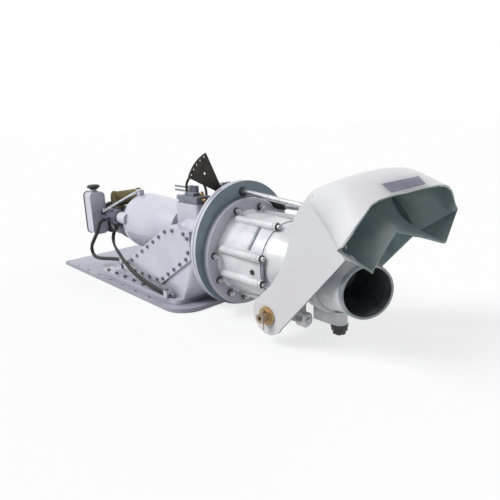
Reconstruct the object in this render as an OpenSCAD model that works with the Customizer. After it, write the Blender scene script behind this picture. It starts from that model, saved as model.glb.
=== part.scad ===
// Marine waterjet propulsion unit: hull plate, intake, pump, steering nozzle and reverse duct.
// Lengths are in millimetres. +X runs aft along the shaft, +Y to starboard, +Z up.
// Every piece is drawn about the shaft line, with x = 0 on the aft face of the transom flange.
// The module unit() then carries it to the frame of the transom bolt circle.

/* [Transom flange] */
// Outside radius of the transom flange and its clamp ring
flange_r = 300; // [296:1:310]
// Height of the flange centre above the shaft line
flange_rise = 35; // [32:1:38]
// Thickness of the outboard flange
flange_t = 17; // [12:1:24]
// Thickness of the gasket between the two rings
gasket_t = 3; // [2:0.5:5]
// Thickness of the inboard clamp ring
clamp_t = 16; // [14:1:24]
// Bore radius of both rings, about the shaft line
ring_bore_r = 240; // [238:1:242]
// Radius of the transom bolt circle
transom_bolt_r = 288; // [287:0.5:289]
// Number of transom bolts
transom_bolts = 12; // [8:1:16]
// Radius of the tapped transom holes
transom_tap_r = 5.1; // [4:0.1:5.5]
// Depth of the tapped transom holes
transom_tap_depth = 12; // [8:1:13]

/* [Hull plate] */
// Distance from the shaft line down to the top of the plate
plate_drop = 279; // [275:1:290]
// Thickness of the plate
plate_t = 22; // [16:1:30]
// Distance from the transom to the plate's front edge
plate_front = 1500; // [1480:5:1600]
// Distance from the transom to the plate's aft edge
plate_aft = 150; // [140:5:170]
// Half of the plate's width
plate_half_w = 300; // [295:1:320]
// Radius of the plate's aft corners
plate_corner_r = 130; // [100:5:150]
// Radius of the hull bolt holes
hull_hole_r = 7; // [5:0.5:9]
// Distance of the hull bolt holes from the plate's edge
hull_hole_inset = 17; // [14:1:20]
// Spacing of the hull bolt holes
hull_hole_pitch = 145; // [130:5:150]
// Number of hull bolt holes on each side
hull_holes = 8; // [6:2:8]

/* [Intake] */
// Half of the casting's outside width
intake_half_w = 212; // [208:1:216]
// Distance from the transom to the front of the casting's sloping roof
intake_front = 1010; // [1000:5:1030]
// Distance from the transom to the front of the intake mouth
mouth_front = 930; // [920:5:940]
// Distance from the transom to the aft end of the intake mouth
mouth_aft = 340; // [330:5:350]
// Half of the intake mouth's width
mouth_half_w = 160; // [150:1:170]
// Radius of the water passage ahead of the impeller
duct_r = 180; // [178:1:182]
// Height of the foot that the casting stands on
foot_h = 24; // [18:1:30]
// Half of the foot's width
foot_half_w = 258; // [252:1:264]
// Largest radius of the bell over the shaft tunnel
bell_r = 165; // [160:1:170]
// Height of the bell's axis above the shaft line
bell_rise = 36; // [32:1:40]
// Distance from the transom to the bell's front face
bell_front = 945; // [940:1:960]
// Thickness of the side covers
cover_t = 10; // [6:1:14]
// Spacing of the side covers' bolts
cover_bolt_pitch = 66; // [55:1:80]
// Width of each grille bar
grille_bar_w = 10; // [6:1:14]
// Spacing of the grille bars
grille_pitch = 42; // [34:1:50]

/* [Shaft line] */
// Radius of the main shaft
shaft_r = 32; // [28:0.5:36]
// Distance from the transom to the coupling's front face
coupling_front = 1345; // [1335:5:1360]
// Radius of the coupling flange
coupling_r = 105; // [100:1:110]
// Radius of the coupling's bolt circle
coupling_bolt_r = 85; // [80:1:88]
// Number of coupling bolts
coupling_bolts = 8; // [6:1:10]
// Radius of the coupling's bolt holes
coupling_hole_r = 6.5; // [5:0.5:8]
// Radius of the bearing housing's body
bearing_body_r = 96; // [90:1:100]
// Outside radius of the thrust bearing
bearing_r = 62; // [56:1:68]
// Tip radius of the impeller
impeller_r = 177.8; // [176:0.2:178]
// Number of impeller blades
impeller_blades = 5; // [3:1:6]
// Radial running clearance between the impeller tips and the wear ring
tip_gap = 0.8; // [0.5:0.1:1]
// Radial clearance of running shafts and pins
run_gap = 0.05; // [0.03:0.01:0.08]
// Clearance between pieces that only sit together
seat_gap = 0.2; // [0.1:0.05:0.3]

/* [Tailpipe and nozzle] */
// Radius of the tailpipe's bolted flange
tail_flange_r = 258; // [256:1:259]
// Thickness of the tailpipe's flange
tail_flange_t = 28; // [24:1:32]
// Radius of the circle of tailpipe studs
stud_circle_r = 220; // [218:1:222]
// Distance from the transom to the tailpipe's aft face
tail_len = 284; // [274:1:294]
// Number of stator vanes
stator_vanes = 7; // [5:1:9]
// Distance from the tailpipe's aft face to the steering pivot
pivot_x = 277; // [272:1:286]
// Radius of the steering nozzle's ball
ball_r = 150; // [146:1:152]
// Distance from the steering pivot to the nozzle's lip
nozzle_len = 230; // [220:1:245]
// Outside radius of the nozzle's lip
lip_r = 104; // [100:1:108]
// Radius of the jet at the nozzle's lip
jet_r = 95; // [90:1:97]
// Angle of the nozzle to port at rest
steer_rest = 28; // [20:1:28]
// Radius of the two steering pivot pins
steer_pin_r = 14; // [12:0.5:16]

/* [Reverse duct] */
// Distance from the tailpipe's aft face to the reverse pivot
duct_pivot_x = 84; // [80:1:88]
// Height of the reverse pivot, below the shaft line
duct_pivot_drop = 165; // [160:1:168]
// Thickness of the duct's arms
arm_t = 12; // [8:1:14]
// Distance from the shaft line to the inner face of each arm
arm_y = 214; // [212:1:216]
// Radius of each arm's lower end
arm_end_r = 84; // [78:1:88]
// Thickness of the hood's sheet
hood_t = 8; // [5:1:10]
// Radius of the reverse pivot pins
duct_pin_r = 20; // [17:0.5:21]
// Outside radius of the pivot bushes
bush_r = 27; // [25:0.5:30]
// Radius of the polished push rod
rod_r = 13; // [11:0.5:14]
// Height of the push rod above the shaft line at the transom
rod_h = 285; // [284:0.5:286]
// Downward slope of the push rod
rod_slope = 4.4; // [4:0.1:5]

/* [Oil equipment] */
// Depth of the oil tank, front to back
tank_d = 80; // [70:1:90]
// Width of the oil tank
tank_w = 98; // [90:1:104]
// Height of the oil tank
tank_h = 265; // [250:1:280]
// Radius of the filler cap
cap_r = 38.5; // [34:0.5:42]
// Radius of the oil cooler
cooler_r = 46; // [42:1:48]
// Outside diameter of the thick suction hose
suction_hose_d = 22; // [18:1:26]
// Outside diameter of the thin pressure hoses
pressure_hose_d = 14; // [10:1:18]

/* [Hidden] */
$fn = 64;

paint = [0.80, 0.81, 0.84];
cast_white = [0.86, 0.87, 0.88];
ring_grey = [0.42, 0.47, 0.52];
steel = [0.66, 0.68, 0.70];
dark_steel = [0.22, 0.24, 0.26];
rubber_black = [0.07, 0.07, 0.08];
brass = [0.74, 0.60, 0.32];
bronze = [0.45, 0.41, 0.22];
zinc = [0.70, 0.72, 0.73];

ring_stack = flange_t + gasket_t + clamp_t;
plate_top = -plate_drop;
// Stations of the two pivots behind the transom
steer_x = tail_len + pivot_x;
swing_x = tail_len + duct_pivot_x;
deg_step = 5;

// Carries a piece from the shaft line to the frame of the transom bolt circle
module unit() translate([ring_stack, 0, -flange_rise]) children();

// Cylinders along the three axes, from one station to another
module x_cyl(r, x0, x1) translate([x0, 0, 0]) rotate([0, 90, 0]) cylinder(r = r, h = x1 - x0);
module y_cyl(r, y0, y1) translate([0, y0, 0]) rotate([-90, 0, 0]) cylinder(r = r, h = y1 - y0);
module z_cyl(r, z0, z1) translate([0, 0, z0]) cylinder(r = r, h = z1 - z0);
module x_hex(r, x0, x1) translate([x0, 0, 0]) rotate([0, 90, 0]) cylinder(r = r, h = x1 - x0, $fn = 6);

// Revolve about the shaft line of a profile given as [radius, station]
module x_revolve(profile) rotate([0, 90, 0]) rotate_extrude() polygon([for (p = profile) [p[0], p[1]]]);

// Copies round the shaft line, at angles measured from the top towards port
module round_shaft(angles) for (a = angles) rotate([a, 0, 0]) children();
function spread(n, start = 0) = [for (i = [0 : n - 1]) start + 360 * i / n];
function both_sides(angles) = concat(angles, [for (a = angles) -a]);

// Rectangle with round corners, from one corner to the other
module round_rect(a, b, r) {
    translate([a[0] + r, a[1]]) square([b[0] - a[0] - 2 * r, b[1] - a[1]]);
    translate([a[0], a[1] + r]) square([b[0] - a[0], b[1] - a[1] - 2 * r]);
    for (x = [a[0] + r, b[0] - r], y = [a[1] + r, b[1] - r]) translate([x, y]) circle(r);
}

// A flat outline drawn in X and Z, given thickness from y0 to y1
module side_plate(y0, y1) translate([0, y1, 0]) rotate([90, 0, 0]) linear_extrude(y1 - y0) children();

// Tube swept along a list of points
function unit_of(v) = v / norm(v);
function heading(path, i) =
    unit_of(path[min(i + 1, len(path) - 1)] - path[max(i - 1, 0)]);
function side_of(t) = unit_of(cross(t, abs(t[2]) < 0.9 ? [0, 0, 1] : [0, 1, 0]));
function ring_points(path, i, r, n) =
    let (t = heading(path, i), u = side_of(t), w = cross(u, t))
    [for (k = [0 : n - 1]) path[i] + r * (u * cos(360 * k / n) + w * sin(360 * k / n))];
module hose(path, d, n = 10) {
    rings = len(path);
    points = [for (i = [0 : rings - 1]) each ring_points(path, i, d / 2, n)];
    sides = [for (i = [0 : rings - 2], k = [0 : n - 1])
        [i * n + k, i * n + (k + 1) % n, (i + 1) * n + (k + 1) % n, (i + 1) * n + k]];
    first = [for (k = [n - 1 : -1 : 0]) k];
    last = [for (k = [0 : n - 1]) (rings - 1) * n + k];
    polyhedron(points, concat([first], [last], sides));
}
// Smooth route through hand-picked points
function curve_at(p, i, t) =
    let (n = len(p) - 1, a = p[max(i - 1, 0)], b = p[i], c = p[i + 1], d = p[min(i + 2, n)])
    0.5 * (2 * b + (c - a) * t + (2 * a - 5 * b + 4 * c - d) * t * t + (3 * b - a - 3 * c + d) * t * t * t);
function smooth(p, steps) =
    concat([for (i = [0 : len(p) - 2], k = [0 : steps - 1]) curve_at(p, i, k / steps)], [p[len(p) - 1]]);

// Hull plate and intake

module plate_outline() {
    straight = plate_half_w - plate_corner_r;
    translate([-plate_front, -plate_half_w]) square([plate_front - plate_aft - plate_corner_r, 2 * plate_half_w]);
    translate([-plate_front, -straight]) square([plate_front - plate_aft, 2 * straight]);
    for (s = [-1, 1]) translate([-plate_aft - plate_corner_r, s * straight]) circle(plate_corner_r);
}
mouth_corner_r = 60;
module mouth_outline(gap = 0)
    round_rect([-mouth_front + gap, -mouth_half_w + gap], [-mouth_aft - gap, mouth_half_w - gap],
        mouth_corner_r - gap);
grille_gap = 0.5;
first_hull_hole = plate_front - 25;
module base_plate() color(paint) unit() translate([0, 0, plate_top - plate_t]) linear_extrude(plate_t)
    difference() {
        plate_outline();
        mouth_outline();
        for (i = [0 : hull_holes - 1], s = [-1, 1])
            translate([-first_hull_hole + i * hull_hole_pitch, s * (plate_half_w - hull_hole_inset)])
                circle(hull_hole_r);
    }

// The side cover's outline in X and Z
cover_outline = [[-880, -212], [-335, 112], [-150, 108], [-150, -30], [-430, -212]];
function edge_bolts(p, i, inset) =
    let (a = p[i], b = p[(i + 1) % len(p)], run = b - a, length = norm(run),
        count = floor(length / cover_bolt_pitch), inward = [run[1], -run[0]] / length)
    [for (k = [0 : count - 1]) a + run * (k + 0.5) / count + inward * inset];
cover_bolt_inset = 17;
cover_bolt_places = [for (i = [0 : len(cover_outline) - 1])
    each edge_bolts(cover_outline, i, cover_bolt_inset)];
cover_bolt_r = 5;
pocket_r = impeller_r + tip_gap + 7.3;
seal_seat_r = 58;
seal_front = bell_front - 5;
seal_aft = seal_front - 130;
tunnel_r = shaft_r + 8;
stud_r = 7;
stud_angles = both_sides([20, 84, 116, 142, 168]);
stud_depth = 45;
wear_ring_len = 195;
valve_pad = [[-350, -150], [-170, 48]];
valve_pad_z = 222;
// Foot of the brackets that stand on the collar, before it is cut to fit
bracket_foot_z = 205;
foot_front = intake_front + 55;
foot_aft = 240;
roof_aft = 250;
throat_aft = 140;

// Round collar that fits the transom rings, drawn from a station on the throat ahead of it
module collar_form(front, gap = 0) {
    r = intake_half_w + gap;
    x_revolve([[0, -front], [r, -front], [r, -throat_aft - 10], [r + 10, -90],
        [ring_bore_r - seat_gap, -60], [ring_bore_r - seat_gap, 0], [0, 0]]);
}
// Bell's profile from its domed front, as [radius, distance aft of its front face]
bell_profile = [[0, 6], [bell_r - 50, 6], [bell_r - 22, 14], [bell_r - 7, 40], [bell_r, 78], [bell_r, 118],
    [bell_r - 4, 185], [bell_r - 13, 345], [bell_r - 36, 495], [0, 495]];
bearing_flange_r = bearing_body_r + 16;
// The oil pump hangs beside the bearing housing
pump_r = 44;
pump_gap = 1;
pump_angle = 65;
pump_reach = bearing_flange_r + pump_gap + pump_r;
pump_y = -pump_reach * sin(pump_angle);
pump_z = pump_reach * cos(pump_angle);
// Lug on the bell for the tank's strut, and the boss that the suction hose runs to
lug_w = 28;
strut_to = [-bell_front + 52, -40, bell_rise + bell_r + 12];
tap_x = -908;
tap_y = -190;
tap_z = -197;
tap_r = 14;

module intake_casting() color(paint) unit() difference() {
    union() {
        hull() {
            translate([-intake_front, -intake_half_w, plate_top])
                cube([intake_front - foot_aft - 20, 2 * intake_half_w, 4]);
            x_cyl(intake_half_w, -roof_aft, -throat_aft, $fn = 48);
        }
        translate([0, 0, plate_top]) linear_extrude(foot_h)
            round_rect([-foot_front, -foot_half_w], [-foot_aft, foot_half_w], 40);
        translate([0, 0, bell_rise]) x_revolve([for (p = bell_profile) [p[0], p[1] - bell_front]]);
        x_cyl(bearing_flange_r, -bell_front, -bell_front + 90);
        translate([0, pump_y, pump_z]) x_cyl(pump_r - 8, -bell_front, -bell_front + 90);
        translate([strut_to[0], strut_to[1] - lug_w / 2, bell_rise + 60])
            cube([lug_w + 8, lug_w, strut_to[2] + lug_w / 2 - bell_rise - 60]);
        translate([tap_x, tap_y, plate_top + 2]) z_cyl(tap_r + 6, 0, tap_z - plate_top - 2);
        collar_form(throat_aft + 12);
        for (s = [-1, 1]) side_plate(min(s * 120, s * intake_half_w), max(s * 120, s * intake_half_w))
            polygon(cover_outline);
        translate([0, 0, 100]) linear_extrude(valve_pad_z - 100) round_rect(valve_pad[0], valve_pad[1], 14);
    }
    hull() {
        translate([-mouth_front, -mouth_half_w, plate_top - 1])
            cube([mouth_front - mouth_aft, 2 * mouth_half_w, 4]);
        x_cyl(duct_r, -roof_aft, -throat_aft - 10, $fn = 48);
    }
    x_cyl(duct_r, -throat_aft - 30, 1);
    x_cyl(pocket_r, -wear_ring_len - 3, 1);
    x_cyl(tunnel_r, -bell_front - 1, -380);
    x_cyl(seal_seat_r, -bell_front - 1, -seal_aft);
    round_shaft(stud_angles) translate([0, 0, stud_circle_r]) x_cyl(stud_r + seat_gap, -stud_depth, 1);
}

module intake_grille() color(dark_steel) unit() translate([0, 0, plate_top - plate_t + 2]) {
    frame_w = 16;
    reach = floor((mouth_half_w - frame_w) / grille_pitch);
    linear_extrude(plate_t - 4) difference() {
        mouth_outline(grille_gap);
        mouth_outline(grille_gap + frame_w);
    }
    translate([0, 0, 2]) linear_extrude(plate_t - 8) intersection() {
        mouth_outline(grille_gap + frame_w / 2);
        for (i = [-reach : reach]) translate([-mouth_front, i * grille_pitch - grille_bar_w / 2])
            square([mouth_front - mouth_aft, grille_bar_w]);
    }
}

module side_cover(s) color(paint) unit() difference() {
    cover_out = intake_half_w + cover_t;
    side_plate(min(s * intake_half_w, s * cover_out), max(s * intake_half_w, s * cover_out))
        polygon(cover_outline);
    for (p = cover_bolt_places) translate([p[0], 0, p[1]])
        y_cyl(cover_bolt_r + seat_gap, min(s * 200, s * 240), max(s * 200, s * 240));
}
module port_cover() side_cover(-1);
module starboard_cover() side_cover(1);
module cover_bolts() color(dark_steel) unit() for (m = [0, 1]) mirror([0, m, 0])
    for (p = cover_bolt_places) translate([p[0], intake_half_w, p[1]]) {
        y_cyl(cover_bolt_r, 0, cover_t);
        y_cyl(9, cover_t, cover_t + 7, $fn = 6);
    }
intake_bolt_pitch = 100;
module intake_bolts() color(dark_steel) unit() for (m = [0, 1]) mirror([0, m, 0])
    for (x = [-intake_front + 10 : intake_bolt_pitch : -foot_aft - 60])
        translate([x, intake_half_w + 24, plate_top + foot_h]) {
            z_cyl(11, 0, 2.5);
            z_cyl(9.5, 2.5, 11, $fn = 6);
        }

// Shaft line

bearing_flange_t = 18;
bearing_front = 1190;
bearing_w = 60;
cap_t = 18;
module bearing_housing() color(cast_white) unit() difference() {
    union() {
        x_cyl(bearing_flange_r, -bell_front - bearing_flange_t, -bell_front);
        x_revolve([[0, -bearing_front], [bearing_body_r, -bearing_front], [bearing_body_r, -bearing_front + 100],
            [bearing_flange_r - 5, -bearing_front + 122], [bearing_flange_r - 5, -bell_front - bearing_flange_t],
            [0, -bell_front - bearing_flange_t]]);
    }
    x_cyl(bearing_r, -bearing_front - 1, -bearing_front + bearing_w);
    x_cyl(tunnel_r, -bearing_front - 1, -bell_front + 1);
}
module thrust_bearing() color(steel) unit()
    x_revolve([[shaft_r + run_gap, -bearing_front], [bearing_r - seat_gap, -bearing_front],
        [bearing_r - seat_gap, -bearing_front + bearing_w - seat_gap],
        [shaft_r + run_gap, -bearing_front + bearing_w - seat_gap]]);
module bearing_cap() color(paint) unit() {
    x_revolve([[tunnel_r, -bearing_front - cap_t], [bearing_r, -bearing_front - cap_t],
        [bearing_body_r - 4, -bearing_front - cap_t + 6], [bearing_body_r - 4, -bearing_front],
        [tunnel_r, -bearing_front]]);
    round_shaft(spread(8)) translate([0, 0, bearing_r + 14])
        x_hex(8, -bearing_front - cap_t - 4, -bearing_front - cap_t + 6);
}
module shaft_seal() color(rubber_black) unit()
    x_revolve([[shaft_r + run_gap, -seal_front], [seal_seat_r - seat_gap, -seal_front],
        [seal_seat_r - seat_gap, -seal_aft - seat_gap], [shaft_r + run_gap, -seal_aft - seat_gap]]);
module wear_ring() color(steel) unit()
    x_revolve([[impeller_r + tip_gap, -wear_ring_len], [pocket_r - seat_gap, -wear_ring_len],
        [pocket_r - seat_gap, -1], [impeller_r + tip_gap, -1]]);

shaft_aft = 205;
nut_end_r = 24;
coupling_hub_len = 95;
recess = 22;
module mainshaft() color(steel) unit() {
    x_cyl(shaft_r, -coupling_front + recess, shaft_aft);
    x_cyl(nut_end_r, -coupling_front + 1, -coupling_front + recess + 1);
}
module coupling_flange() color(dark_steel) unit() difference() {
    x_revolve([[shaft_r + run_gap, -coupling_front + recess], [shaft_r + 26, -coupling_front + recess],
        [shaft_r + 26, -coupling_front], [coupling_r, -coupling_front], [coupling_r, -coupling_front + 24],
        [shaft_r + 24, -coupling_front + 28], [shaft_r + 20, -coupling_front + coupling_hub_len],
        [shaft_r + run_gap, -coupling_front + coupling_hub_len]]);
    round_shaft(spread(coupling_bolts)) translate([0, 0, coupling_bolt_r])
        x_cyl(coupling_hole_r, -coupling_front - 1, -coupling_front + 40);
}
module coupling_nut() color(steel) unit() difference() {
    x_hex(shaft_r + 14, -coupling_front + 3, -coupling_front + recess);
    x_cyl(nut_end_r + run_gap, -coupling_front, -coupling_front + recess + 1);
}

impeller_front = 185;
impeller_aft = 15;
blade_len = 140;
blade_twist = 70;
blade_t = 11;
module impeller() color(brass) unit() {
    x_revolve([[shaft_r + run_gap, -impeller_front], [shaft_r + 12, -impeller_front], [68, -120],
        [76, -70], [76, -impeller_aft], [shaft_r + run_gap, -impeller_aft]]);
    for (a = spread(impeller_blades)) translate([-impeller_front + 18, 0, 0]) rotate([0, 90, 0]) rotate([0, 0, a])
        linear_extrude(blade_len, twist = blade_twist, slices = 8, segments = 8)
            translate([shaft_r + 8, -blade_t / 2]) square([impeller_r - shaft_r - 9, blade_t]);
}

// Transom rings

ram_ball_r = 22;
ram_y = -5;
steer_rod_y = 190;
steer_rod_z = 195;
steer_rod_r = 12;
module transom_ring(x0, x1) difference() {
    translate([0, 0, flange_rise]) x_cyl(flange_r, x0, x1, $fn = 128);
    x_cyl(ring_bore_r, x0 - 1, x1 + 1, $fn = 128);
    translate([0, ram_y, rod_h]) x_cyl(ram_ball_r + 0.4, x0 - 1, x1 + 1);
    translate([0, steer_rod_y, steer_rod_z]) x_cyl(steer_rod_r + run_gap, x0 - 1, x1 + 1);
}
module transom_flange() color(ring_grey) unit() transom_ring(-flange_t, 0);
module transom_gasket() color(rubber_black) unit() transom_ring(-flange_t - gasket_t, -flange_t);
module clamp_ring() color(ring_grey) unit() difference() {
    transom_ring(-ring_stack, -flange_t - gasket_t);
    translate([0, 0, flange_rise]) round_shaft(spread(transom_bolts, 15)) translate([0, 0, transom_bolt_r])
        x_cyl(transom_tap_r, -ring_stack - 1, -ring_stack + transom_tap_depth);
}

// Tailpipe

tail_root_r = 192;
tail_end_r = 180;
tail_bore_r = 152;
hub_r = 78;
hub_aft = tail_len + 30;
ridge_angles = both_sides([26, 74, 108, 160]);
ridge_circle_r = 190;
ridge_r = 19;
aft_bearing_r = 46;
module tailpipe() color(cast_white) unit() difference() {
    union() {
        difference() {
            union() {
                x_revolve([[0, 0], [tail_flange_r, 0], [tail_flange_r, tail_flange_t - 4],
                    [tail_flange_r - 4, tail_flange_t], [tail_root_r + 12, tail_flange_t],
                    [tail_root_r, tail_flange_t + 16], [tail_end_r, tail_len], [0, tail_len]]);
                round_shaft(ridge_angles) translate([0, 0, ridge_circle_r])
                    x_cyl(ridge_r, tail_flange_t + 18, tail_len - 1);
            }
            x_revolve([[0, -1], [impeller_r + tip_gap, -1], [impeller_r + tip_gap, 40],
                [tail_bore_r, tail_len + 1], [0, tail_len + 1]]);
        }
        x_revolve([[0, 6], [hub_r, 6], [hub_r, 190], [hub_r - 22, 260], [18, hub_aft], [0, hub_aft]]);
        round_shaft(spread(stator_vanes, 10)) translate([52, -5, 60]) cube([160, 10, 120]);
    }
    x_cyl(aft_bearing_r, 0, shaft_aft + 6);
    round_shaft(stud_angles) translate([0, 0, stud_circle_r]) x_cyl(stud_r + seat_gap, -1, tail_flange_t + 1);
    round_shaft(ridge_angles) translate([0, 0, ridge_circle_r]) x_cyl(6 + seat_gap, tail_len - 30, tail_len + 1);
}
module tailpipe_nuts() color(zinc) unit() round_shaft(stud_angles) translate([0, 0, stud_circle_r]) {
    x_cyl(stud_r, -stud_depth + 1, tail_flange_t + 27);
    x_cyl(16, tail_flange_t, tail_flange_t + 3);
    x_hex(13, tail_flange_t + 3, tail_flange_t + 16);
}
module aft_bearing() color(rubber_black) unit()
    x_revolve([[shaft_r + run_gap, 7], [aft_bearing_r - seat_gap, 7], [aft_bearing_r - seat_gap, shaft_aft],
        [shaft_r + run_gap, shaft_aft]]);

// Nozzle housing

socket_gap = 0.6;
socket_t = 13;
socket_r = ball_r + socket_gap;
lug_y = 34;
lug_t = 20;
lower_lug_t = 58;
lug_z0 = ball_r + 6;
lug_front = steer_x - 110;
arm_lug_w = 40;
arm_lug_y = arm_y - 1;
anode_x = steer_x - 109;
anode_len = 42;
anode_r = 32;
anode_y = -118;
anode_z = -184;
anode_pad_len = 62;
function arc(r, a0, a1, cx = 0) = [for (a = [a0 : (a1 - a0) / round(abs(a1 - a0) / deg_step) : a1 + 0.001])
    [r * sin(a), cx - r * cos(a)]];
module nozzle_housing() color(cast_white) unit() difference() {
    union() {
        x_revolve(concat([[0, tail_len], [tail_end_r - 5, tail_len], [tail_end_r - 5, tail_len + 18],
            [158, tail_len + 90]], arc(socket_r + socket_t, 62, 90, steer_x), [[0, steer_x]]));
        round_shaft(ridge_angles) translate([0, 0, ridge_circle_r]) x_cyl(ridge_r, tail_len + 1, tail_len + 14);
        for (m = [0, 1], t = m == 0 ? lug_t : lower_lug_t) mirror([0, 0, m]) {
            translate([lug_front, -lug_y, lug_z0]) cube([steer_x - lug_front, 2 * lug_y, t]);
            translate([steer_x, 0, 0]) z_cyl(lug_y, lug_z0, lug_z0 + t);
        }
        for (m = [0, 1]) mirror([0, m, 0]) {
            translate([swing_x, 0, -duct_pivot_drop]) y_cyl(arm_lug_w, 60, arm_lug_y);
            translate([swing_x - 34, 56, -duct_pivot_drop - 22]) cube([96, 60, 110]);
        }
        translate([anode_x - anode_pad_len, anode_y - 20, anode_z - 14]) cube([anode_pad_len, 40, 70]);
    }
    x_revolve([[0, tail_len - 1], [tail_bore_r, tail_len - 1], [128, steer_x - 70], [0, steer_x - 70]]);
    translate([steer_x, 0, 0]) sphere(socket_r, $fn = 96);
    translate([steer_x, 0, 0]) z_cyl(steer_pin_r + run_gap, -300, 300);
    translate([swing_x, 0, -duct_pivot_drop]) for (m = [0, 1]) mirror([0, m, 0])
        y_cyl(duct_pin_r + seat_gap, arm_lug_y - 55, arm_lug_y + 1);
    round_shaft(ridge_angles) translate([0, 0, ridge_circle_r]) x_cyl(6 + seat_gap, tail_len - 1, tail_len + 20);
    translate([0, anode_y, anode_z]) x_cyl(6, anode_x - 26, anode_x + 1);
}
module housing_bolts() color(zinc) unit() round_shaft(ridge_angles) translate([0, 0, ridge_circle_r]) {
    x_cyl(6, tail_len - 28, tail_len + 14);
    x_cyl(15, tail_len + 14, tail_len + 17);
    x_hex(12, tail_len + 17, tail_len + 27);
}
module duct_pivot_pins() color(steel) unit() translate([swing_x, 0, -duct_pivot_drop])
    for (m = [0, 1]) mirror([0, m, 0]) difference() {
        y_cyl(duct_pin_r, arm_lug_y - 54, pin_end_y);
        y_cyl(9, pin_end_y - 14, pin_end_y + 1);
        translate([0, split_pin_y, 0]) z_cyl(split_pin_r + seat_gap, -40, 40);
    }
pin_end_y = arm_y + arm_t + 44;
split_pin_r = 3;
split_pin_y = pin_end_y - 20;
module split_pins() color(steel) unit() translate([swing_x, 0, -duct_pivot_drop])
    for (m = [0, 1]) mirror([0, m, 0]) translate([0, split_pin_y, 0]) {
        z_cyl(split_pin_r, -duct_pin_r - 34, duct_pin_r + 8);
        translate([0, 0, duct_pin_r + 10]) y_cyl(7, -4, 4);
    }
module anode() color(zinc) unit() translate([0, anode_y, anode_z]) difference() {
    x_revolve([[7, anode_x], [anode_r, anode_x], [anode_r, anode_x + anode_len - 6],
        [anode_r - 6, anode_x + anode_len], [7, anode_x + anode_len]]);
}
module anode_bolt() color(steel) unit() translate([0, anode_y, anode_z]) {
    x_cyl(5.8, anode_x - 25, anode_x + anode_len);
    x_hex(12, anode_x + anode_len, anode_x + anode_len + 9);
}

// Steering nozzle, turned to port at rest

module steered() translate([steer_x, 0, 0]) rotate([0, 0, -steer_rest]) children();
nozzle_wall = 12;
ball_front = 75;
ball_front_r = sqrt(ball_r * ball_r - ball_front * ball_front);
ball_angle = 60;
lip_len = 16;
module steering_nozzle() color(dark_steel) unit() steered() difference() {
    union() {
        x_revolve(concat([[0, -ball_front]], arc(ball_r, ball_angle, 180 - ball_angle),
            [[lip_r, nozzle_len - lip_len - 8], [lip_r + 3, nozzle_len - lip_len], [lip_r, nozzle_len],
            [0, nozzle_len]]));
    }
    x_revolve([[0, -ball_front - 1], [ball_front_r - nozzle_wall, -ball_front - 1],
        [ball_front_r - nozzle_wall - 3, 0], [jet_r, nozzle_len - 40], [jet_r, nozzle_len + 1],
        [0, nozzle_len + 1]]);
    z_cyl(steer_pin_r + seat_gap, -ball_r - 20, ball_r + 20);
}
pin_inner_z = ball_r - 26;
tiller_z = lug_z0 + lug_t + 1;
tiller_t = 14;
tiller_len = 112;
tiller_pin_r = 9;
// The tiller points to starboard when the nozzle is straight
module upper_pivot() color(steel) unit() steered() {
    z_cyl(steer_pin_r, pin_inner_z, tiller_z + 1);
    z_cyl(28, tiller_z, tiller_z + tiller_t);
    translate([-15, 0, tiller_z]) cube([30, tiller_len, tiller_t]);
    translate([0, tiller_len, 0]) {
        z_cyl(21, tiller_z, tiller_z + tiller_t);
        z_cyl(tiller_pin_r, tiller_z - 32, tiller_z + 1);
    }
}
nut_top = -lug_z0 - lower_lug_t - 1;
module lower_pivot() color(steel) unit() steered()
    z_cyl(steer_pin_r, nut_top - 48, -pin_inner_z);
module castle_nut() color(dark_steel) unit() steered() difference() {
    union() {
        z_cyl(37, nut_top - 8, nut_top);
        z_cyl(34, nut_top - 29, nut_top - 8, $fn = 6);
        z_cyl(27, nut_top - 42, nut_top - 29);
    }
    z_cyl(steer_pin_r + run_gap, -300, -100);
    for (a = [0, 60, 120]) rotate([0, 0, a]) translate([-36, -3, nut_top - 43]) cube([72, 6, 12]);
}
// Sliding steering rod with the slotted yoke that moves the tiller
yoke_x = steer_x + tiller_len * sin(steer_rest);
yoke_y = tiller_len * cos(steer_rest);
yoke_gap = 1.6;
yoke_wall = 11;
yoke_t = 16;
yoke_z = tiller_z - 3 - yoke_t;
yoke_half = tiller_pin_r + yoke_gap;
yoke_out = yoke_half + yoke_wall;
yoke_post = 16;
steer_rod_front = 330;
module steering_rod() color(steel) unit() {
    translate([0, steer_rod_y, steer_rod_z]) x_cyl(steer_rod_r, -steer_rod_front, yoke_x);
    translate([yoke_x, 0, yoke_z]) difference() {
        translate([-yoke_out, yoke_y - 24, 0]) cube([2 * yoke_out, steer_rod_y + yoke_post - yoke_y + 24, yoke_t]);
        translate([-yoke_half, yoke_y - 14, -1]) cube([2 * yoke_half, 42, yoke_t + 2]);
    }
    translate([yoke_x - yoke_post, steer_rod_y - yoke_post, yoke_z + 1])
        cube([2 * yoke_post, 2 * yoke_post, steer_rod_z + yoke_post - yoke_z]);
}

// Reverse duct

// Hood and arms are drawn about the reverse pivot.
// Control points of the hood's skin on the port side: rows run from the front edge to the aft rim,
// columns from the centre line over the shoulder and down the flared side
arm_out = arm_y + arm_t;
hood_rows = [
    [[244, 0, 551], [236, 120, 546], [222, 196, 531], [216, 224, 501], [272, arm_out, 440], [378, arm_out, 311]],
    [[314, 0, 580], [308, 126, 574], [292, 212, 551], [288, 240, 507], [326, 258, 429], [402, 262, 331]],
    [[380, 0, 593], [374, 134, 585], [362, 228, 559], [360, 268, 511], [380, 300, 423], [424, 304, 351]],
    [[438, 0, 569], [434, 138, 562], [428, 240, 541], [432, 296, 499], [438, 346, 415], [448, 346, 371]],
    [[470, 0, 515], [480, 128, 521], [490, 236, 517], [494, 284, 491], [484, 340, 441], [472, 393, 394]]
];
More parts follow.
